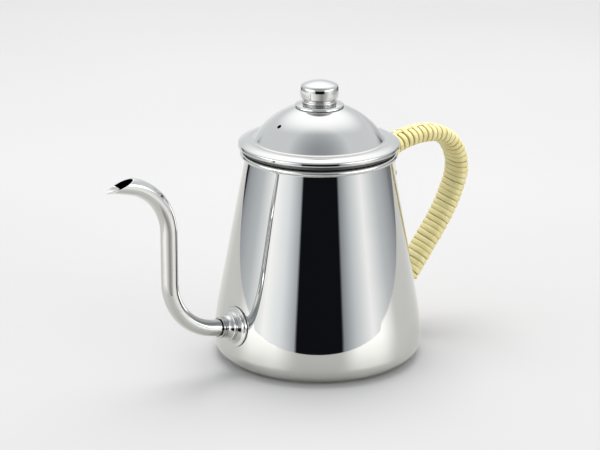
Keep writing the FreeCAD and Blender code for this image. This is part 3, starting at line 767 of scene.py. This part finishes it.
# %% Sizes of the strip
CANE_START, CANE_LENGTH, CANE_TURNS = 5.6, 153.2, 40
PITCH = CANE_LENGTH / CANE_TURNS
CANE_TOP, CANE_UNDER = 2.72, 0.02  # heights of the strip's two sides over the bar
EDGE_SHARE = 0.76  # height of its edges as a share of its top
STRIP_WIDTH = 3.5  # width that its pattern has
OPEN_WIDTH, TIGHT_WIDTH = 3.3, 3.78
OPEN_POWER, TIGHT_POWER = 3.2, 2.1  # a high power gives a flat top with steep edges
TIGHT_FROM, TIGHT_AFTER = 10, 8  # turn where the winding gets tighter, and how many turns that takes
UNDERSIDE = 0.94  # its width as a share of the strip's
END_TURN = 0.35  # part of a turn in which each end narrows to nothing
TURN_LENGTH = 45.0  # strip in one turn, for its pattern
UNEVEN, WANDER = 0.07, 0.12  # how far a hand-wound strip strays in height and along the bar
RUNNER_FIRST, RUNNER_LAST = 0, 9  # turns that the runner is woven into
RUNNER_LIFT, RUNNER_BELL = 0.95, 2.6  # height and half width of the bell over the runner
print("one turn every", round(PITCH, 2), "mm")


# %% Strip
def cane_surface(around=72, across=13):
    """Winding strip: the turn grows along its rows, and its profile goes round its columns.

    Across the strip the outside is a dome that falls steeply at the pared edges, and the underside lies
    on the bar. Turns over the runner are lifted by a bell curve. Slow waves, out of step with the turns,
    make the winding uneven. On the outside of the bend the turns spread, and the strip keeps its width.
    """
    t = np.linspace(0, CANE_TURNS, CANE_TURNS * around + 1)[:, None]
    turn = 2 * math.pi * t
    number = np.round(t)
    woven = (number >= RUNNER_FIRST) & (number <= RUNNER_LAST) & (number % 2 == 0)
    bell = np.exp(-((CORE_WIDE * np.sin(turn) / RUNNER_BELL) ** 2))
    lift = woven * (np.cos(turn) > 0) * RUNNER_LIFT * bell
    uneven = UNEVEN * np.sin(2.3 * t) * np.sin(0.71 * t + 1.0)
    wander = WANDER * np.sin(1.7 * t + 0.4)
    tight = np.clip((t - TIGHT_FROM) / TIGHT_AFTER, 0.0, 1.0)
    w = np.linspace(-1, 1, across)
    crown = (1 - np.abs(w) ** (OPEN_POWER + (TIGHT_POWER - OPEN_POWER) * tight)) ** 0.5
    top = CANE_TOP * (EDGE_SHARE + (1 - EDGE_SHARE) * crown) + lift + uneven
    under = np.full((len(t), 1), CANE_UNDER)
    w = np.concatenate([[-UNDERSIDE], w, [UNDERSIDE]])
    ends = np.clip(np.minimum(t, CANE_TURNS - t) / END_TURN, 0.0, 1.0)
    half = (OPEN_WIDTH + (TIGHT_WIDTH - OPEN_WIDTH) * tight) / 2 * ends
    rise, side = oval(turn, np.concatenate([under, top, under], axis=1))
    middle = CANE_START + PITCH * t + wander
    opened = np.maximum(1.0, 1.0 + rise * bend_of(middle))
    points = on_spine(HANDLE_LINE, middle + w * half / opened, rise, side)
    strip = np.broadcast_arrays(t * TURN_LENGTH, w * STRIP_WIDTH / 2, 0.0 * t)
    faces = grid_faces(len(t), len(w), False)
    return (points.reshape(-1, 3), faces), np.stack(strip, axis=-1).reshape(-1, 3)


winding, winding_strip = cane_surface()
add_piece(
    "cane_binding",
    winding,
    "kettle",
    CANE,
    ["cane_wrap_upper", "cane_wrap_lower"],
    sharp=60.0,
    strip=winding_strip,
)

# %% [markdown]
# ### Runner
# Near the pot a second strip runs along the top, over one turn and under the next. It keeps the first turns
# from slipping apart. Its height could be set turn by turn, but a cosine with a period of two turns gives
# the weave in one line.

# %% Runner
RUNNER_WIDTH, RUNNER_SHEET = 3.5, 0.8
RUNNER_BEFORE, RUNNER_AFTER = 0.2, 0.7  # parts of a turn past its first and last turn
RUNNER_UNDERSIDE = 0.96
RUNNER_PLACE = 900.0  # far along the pattern, so that its streaks differ from the winding's


def runner_surface(rows=260, across=11):
    """Strip along the top whose height swings by a cosine, high over odd turns and low under even ones."""
    t = np.linspace(RUNNER_FIRST - RUNNER_BEFORE, RUNNER_LAST + RUNNER_AFTER, rows)[:, None]
    swing = 0.5 - 0.5 * np.cos(math.pi * t)
    base = CORE_THICK + CANE_TOP - RUNNER_LIFT + RUNNER_LIFT * swing
    w = np.linspace(-1, 1, across)
    top = base + RUNNER_SHEET * (0.5 + 0.5 * (1 - np.abs(w) ** 3) ** 0.5)
    w = np.concatenate([[-RUNNER_UNDERSIDE], w, [RUNNER_UNDERSIDE]])
    rise = np.concatenate([base, top, base], axis=1)
    distance = np.broadcast_to(CANE_START + PITCH * t, rise.shape)
    points = on_spine(HANDLE_LINE, distance, rise, w * RUNNER_WIDTH / 2)
    strip = np.broadcast_arrays(distance + RUNNER_PLACE, w * RUNNER_WIDTH / 2, 0.0 * t)
    faces = grid_faces(len(t), len(w), False)
    return (points.reshape(-1, 3), faces), np.stack(strip, axis=-1).reshape(-1, 3)


runner, runner_strip = runner_surface()
add_piece(
    "cane_weave", runner, "kettle", CANE, ["cane_runner"], sharp=60.0, strip=runner_strip
)

# %% [markdown]
# ## Solids that stay
# The bar in the handle, its two plates and the small inner pieces are right as they are. They could be made
# again too, but nothing would be gained: a CAD node keeps its mesh and only gets a better material.

# %% Materials on the solids
def dress(material, *nodes):
    """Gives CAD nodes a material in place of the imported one."""
    for node in nodes:
        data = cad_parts[node].data
        data.materials.clear()
        data.materials.append(material)
    print(material.name, "on", *nodes)


dress(STEEL, "handle_saddle", "handle_foot_plate")
# The satin tone on these pieces is darkened as painted shade.
dress(SATIN_IN_PAINTED_SHADE, "handle_core", "spout_lock_washer", "spout_lock_nut", "knob_washer", "knob_screw")
dress(RUBBER, "spout_gasket")

# %% [markdown]
# ## Light and surroundings
# A mirror shows its surroundings, so they are the paint on this kettle. It stands in a light tent. The
# opening for the lens is dark and shows as the black band down the pot. Beside it the walls are white, and
# they fade to a cool grey further round, with two narrow dark gaps behind the kettle that line its outline.
# Two low strip lamps stand beside the lens. A large lamp behind and above makes the crown of the lid and
# the brim white, and the roof over the lens is in shade. Below the opening lies what is in front of the
# table. Real walls and lamps would do the same, but all of this is far away, so it is a world and needs no
# objects.

# %% What the tent looks like
POLISH = 0.63  # share of light that the steel returns; the tent is brighter by its inverse
TENT_WALLS = (  # bearing from the lens in degrees, to the right as the lens sees it
    (-180, "#CDCFD1"), (-141, "#BFC1C3"), (-138, "#17181A"), (-132.5, "#17181A"), (-129.5, "#7B7E82"),
    (-120, "#93979C"), (-90, "#B1B5B7"), (-62, "#F0F0EF"), (-42, "#D6D9DB"), (-24, "#96999E"),
    (28, "#767A7F"), (44, "#B9BDBF"), (64, "#E9E9E9"), (90, "#B4B7B9"), (120, "#8A8D91"),
    (128, "#6C6D6F"), (138, "#6C6E6F"), (140, "#0A0A0B"), (145, "#0A0A0B"), (148, "#A0A2A4"),
    (180, "#C6C8CA"),
)
ROOF_EDGE = (0.05, 0.3)  # sines of the heights between which the walls turn into the roof
ROOF_TONE, SHADE_TONE, LAMP_TONE = "#C3C5C6", "#888C90", "#FEFEFE"
ROOF_SHADE, ROOF_LAMP = math.radians(50), math.radians(122)  # from the lens up and over the kettle
SHADE_REACH, LAMP_REACH = (0.7, 1.0), (0.74, 0.98)  # cosines of the angle where each starts and is full
STRIPS = (  # two strip lamps beside the lens
    (-100, "#000000"), (-78, "#FFFFFF"), (-48, "#FFFFFF"), (-26, "#000000"),
    (28, "#000000"), (46, "#FFFFFF"), (76, "#FFFFFF"), (98, "#000000"),
)
STRIP_ENDS = ((0.06, 0.11), (0.40, 0.30))  # sines of their lower and upper ends
STRIP_LIGHT = (2.7, 2.7, 2.68, 1.0)
FRONT = (  # what lies below, in front of the table
    (-100, "#E2E0DD"), (-48, "#F2F0ED"), (-14, "#BBB9B6"), (12, "#83817E"), (38, "#A8A6A3"),
    (64, "#E6E4E1"), (94, "#ABA9A6"),
)
FRONT_EDGE = (-0.17, -0.22)  # sines of the heights where it starts and is full
OPENING = ((-24.7, "#000000"), (-23.2, "#FFFFFF"), (27.4, "#FFFFFF"), (29.0, "#000000"))
OPENING_TOP, OPENING_FOOT = math.sin(math.radians(9)), -math.sin(math.radians(11))
TOP_FADE, FOOT_FADE = 0.03, 0.06
OPENING_ENDS = ((OPENING_TOP + TOP_FADE, OPENING_TOP), (OPENING_FOOT - FOOT_FADE, OPENING_FOOT))
OPENING_TONE = "#0E0F12"


# %% Ramps and covers
def on_circle(stops):
    """Ramp places from bearings in degrees, with the lens in the middle."""
    return [(0.5 + bearing / 360, colour) for bearing, colour in stops]


def covered(tree, under, over, share, *limits):
    """Lays a colour over another by a share, which each limit reduces.

    A limit is a value with the places where the cover begins and where it is full.
    """
    smooth = {"interpolation_type": "SMOOTHSTEP"}
    for value, begin, full in limits:
        rise = add_node(
            tree, "ShaderNodeMapRange", smooth, Value=value, From_Min=begin, From_Max=full
        ).outputs[0]
        share = add_node(
            tree, "ShaderNodeMath", {"operation": "MULTIPLY"}, i0=share, i1=rise
        ).outputs[0]
    mix = add_node(tree, "ShaderNodeMix", {"data_type": "RGBA"}, i0=share, i6=under, i7=over)
    return mix.outputs[2]


# %% Tent
def tent_light():
    """World from a direction's bearing and height: walls, roof, strips, front and opening in turn.

    The roof's shade and lamp are measured by the cosine of the angle from their middles.
    """
    world = bpy.data.worlds.new("light_tent")
    world.use_nodes = True
    tree = world.node_tree
    tree.nodes.clear()
    place = add_node(tree, "ShaderNodeTexCoord").outputs["Generated"]
    about_z = {"rotation_type": "Z_AXIS"}
    way = add_node(
        tree, "ShaderNodeVectorRotate", about_z, Vector=place, Angle=-CAMERA_BEARING
    ).outputs[0]
    x, y, height = add_node(tree, "ShaderNodeSeparateXYZ", Vector=way).outputs
    bearing = add_node(tree, "ShaderNodeMath", {"operation": "ARCTAN2"}, i0=y, i1=x).outputs[0]
    round_tent = add_node(
        tree, "ShaderNodeMapRange", Value=bearing, From_Min=-math.pi, From_Max=math.pi
    ).outputs[0]
    walls, strips, front, opening = (
        add_node(tree, "ShaderNodeValToRGB", stops=on_circle(stops), Fac=round_tent).outputs[0]
        for stops in (TENT_WALLS, STRIPS, FRONT, OPENING)
    )
    to_shade, to_lamp = (
        add_node(
            tree,
            "ShaderNodeVectorMath",
            {"operation": "DOT_PRODUCT"},
            i0=way,
            i1=(math.cos(angle), 0.0, math.sin(angle)),
        ).outputs["Value"]
        for angle in (ROOF_SHADE, ROOF_LAMP)
    )
    shade = add_node(
        tree,
        "ShaderNodeMapRange",
        Value=to_shade,
        From_Min=SHADE_REACH[0],
        From_Max=SHADE_REACH[1],
    ).outputs[0]
    roof = covered(tree, linear(ROOF_TONE), linear(SHADE_TONE), shade)
    roof = covered(tree, roof, linear(LAMP_TONE), 1.0, (to_lamp, *LAMP_REACH))
    room = covered(tree, walls, roof, 1.0, (height, *ROOF_EDGE))
    room = covered(tree, room, STRIP_LIGHT, strips, *((height, *end) for end in STRIP_ENDS))
    room = covered(tree, room, front, 1.0, (height, *FRONT_EDGE))
    dark = linear(OPENING_TONE)
    seen = covered(tree, room, dark, opening, *((height, *end) for end in OPENING_ENDS))
    light = add_node(tree, "ShaderNodeBackground", Color=seen, Strength=1 / POLISH)
    add_node(tree, "ShaderNodeOutputWorld", Surface=light.outputs[0])
    bpy.context.scene.world = world
    return world


tent = tent_light()
print("tent of", len(tent.node_tree.nodes), "nodes")

# %% [markdown]
# ### Table
# The table is a pale pearl lacquer. Seen at a low angle, as the lower part of the pot sees it, it shines a
# little, and the steel takes its warm tone. Seen from the lens it is a plain matt board, so the background
# is even and stays below white. The steel shows where the table ends, a little in front of the kettle and
# half a metre to each side, so it has its real size. The floor closes the background for other points of
# view, but the steel doesn't see it.

# %% Finish of the table
CLOUD_SIZE = 300.0
MATT_TONES = ((0.3, "#C2C1C1"), (0.7, "#C4C3C3"))
PEARL_TONES = ((0.3, "#CCCAC5"), (0.7, "#CECCC7"))


def pale_table():
    """Pearl lacquer with a faint cloud: the steel sees its shine, and the lens a matt board."""
    material, tree = new_material("pale_table")
    place = add_node(tree, "ShaderNodeTexCoord").outputs["Object"]
    cloud = add_node(
        tree, "ShaderNodeTexNoise", Vector=place, Scale=1 / (CLOUD_SIZE * MM), Detail=1.0
    ).outputs["Fac"]
    matt_tone, pearl_tone = (
        add_node(tree, "ShaderNodeValToRGB", stops=stops, Fac=cloud).outputs["Color"]
        for stops in (MATT_TONES, PEARL_TONES)
    )
    pearl = add_node(
        tree, "ShaderNodeBsdfPrincipled", Base_Color=pearl_tone, Metallic=0.3, Roughness=0.36
    ).outputs[0]
    matt = add_node(tree, "ShaderNodeBsdfDiffuse", Color=matt_tone).outputs[0]
    lens = add_node(tree, "ShaderNodeLightPath").outputs["Is Camera Ray"]
    shader = add_node(tree, "ShaderNodeMixShader", i0=lens, i1=pearl, i2=matt)
    add_node(tree, "ShaderNodeOutputMaterial", Surface=shader.outputs[0])
    return material


PALE = pale_table()

# %% Table and floor
TABLE_NEAR, TABLE_FAR, TABLE_SIDE = 170.0, -2000.0, 510.0
FLOOR_REACH, FLOOR_DROP = 6000.0, 0.04


def add_stage(name, near, far, side, height, material):
    """Level rectangle from near to far along the line to the lens, and as wide as side to each side."""
    corners = np.array([(near, -side), (near, side), (far, side), (far, -side)])
    points = corners[:, :1] * TO_LENS + corners[:, 1:] * LENS_RIGHT + height * UP
    mesh = bpy.data.meshes.new(name)
    mesh.from_pydata((points * MM).tolist(), [], [(0, 1, 2, 3)])
    mesh.materials.append(material)
    thing = bpy.data.objects.new(name, mesh)
    bpy.context.scene.collection.objects.link(thing)
    print(name, "at height", height)
    return thing


add_stage("table", TABLE_NEAR, TABLE_FAR, TABLE_SIDE, 0.0, PALE)
floor = add_stage("floor", FLOOR_REACH, -FLOOR_REACH, FLOOR_REACH, -FLOOR_DROP, PALE)
floor.visible_glossy = False

# %% [markdown]
# ### Lamp
# A world alone gives hardly any shadow. A large lamp almost overhead, a little behind the kettle, lights the
# table and throws the soft shadow towards the lens. The steel sees a lamp as part of the tent already, so
# this one stays out of reflections.

# %% Lamp
LAMP_ANGLE = math.radians(104)  # from the lens up and over the kettle
LAMP_DISTANCE, LAMP_SIZE, LAMP_POWER = 1700.0, 1150.0, 20.5


def add_lamp(name, angle, distance, size, power):
    """Soft square lamp on the arch over the lens, in millimetres, that looks at the kettle."""
    data = bpy.data.lights.new(name, "AREA")
    data.shape = "SQUARE"
    data.size = size * MM
    data.energy = power
    lamp = bpy.data.objects.new(name, data)
    back = math.cos(angle) * TO_LENS + math.sin(angle) * UP
    matrix = np.eye(4)
    matrix[:3, :3] = np.stack([LENS_RIGHT, np.cross(back, LENS_RIGHT), back], axis=-1)
    matrix[:3, 3] = back * distance * MM
    lamp.matrix_world = matrix.T.tolist()
    lamp.visible_glossy = False
    bpy.context.scene.collection.objects.link(lamp)
    return lamp


roof_lamp = add_lamp("roof_lamp", LAMP_ANGLE, LAMP_DISTANCE, LAMP_SIZE, LAMP_POWER)
bpy.context.scene.view_settings.view_transform = "Standard"
print("lamp at", [round(c, 3) for c in roof_lamp.matrix_world.translation])
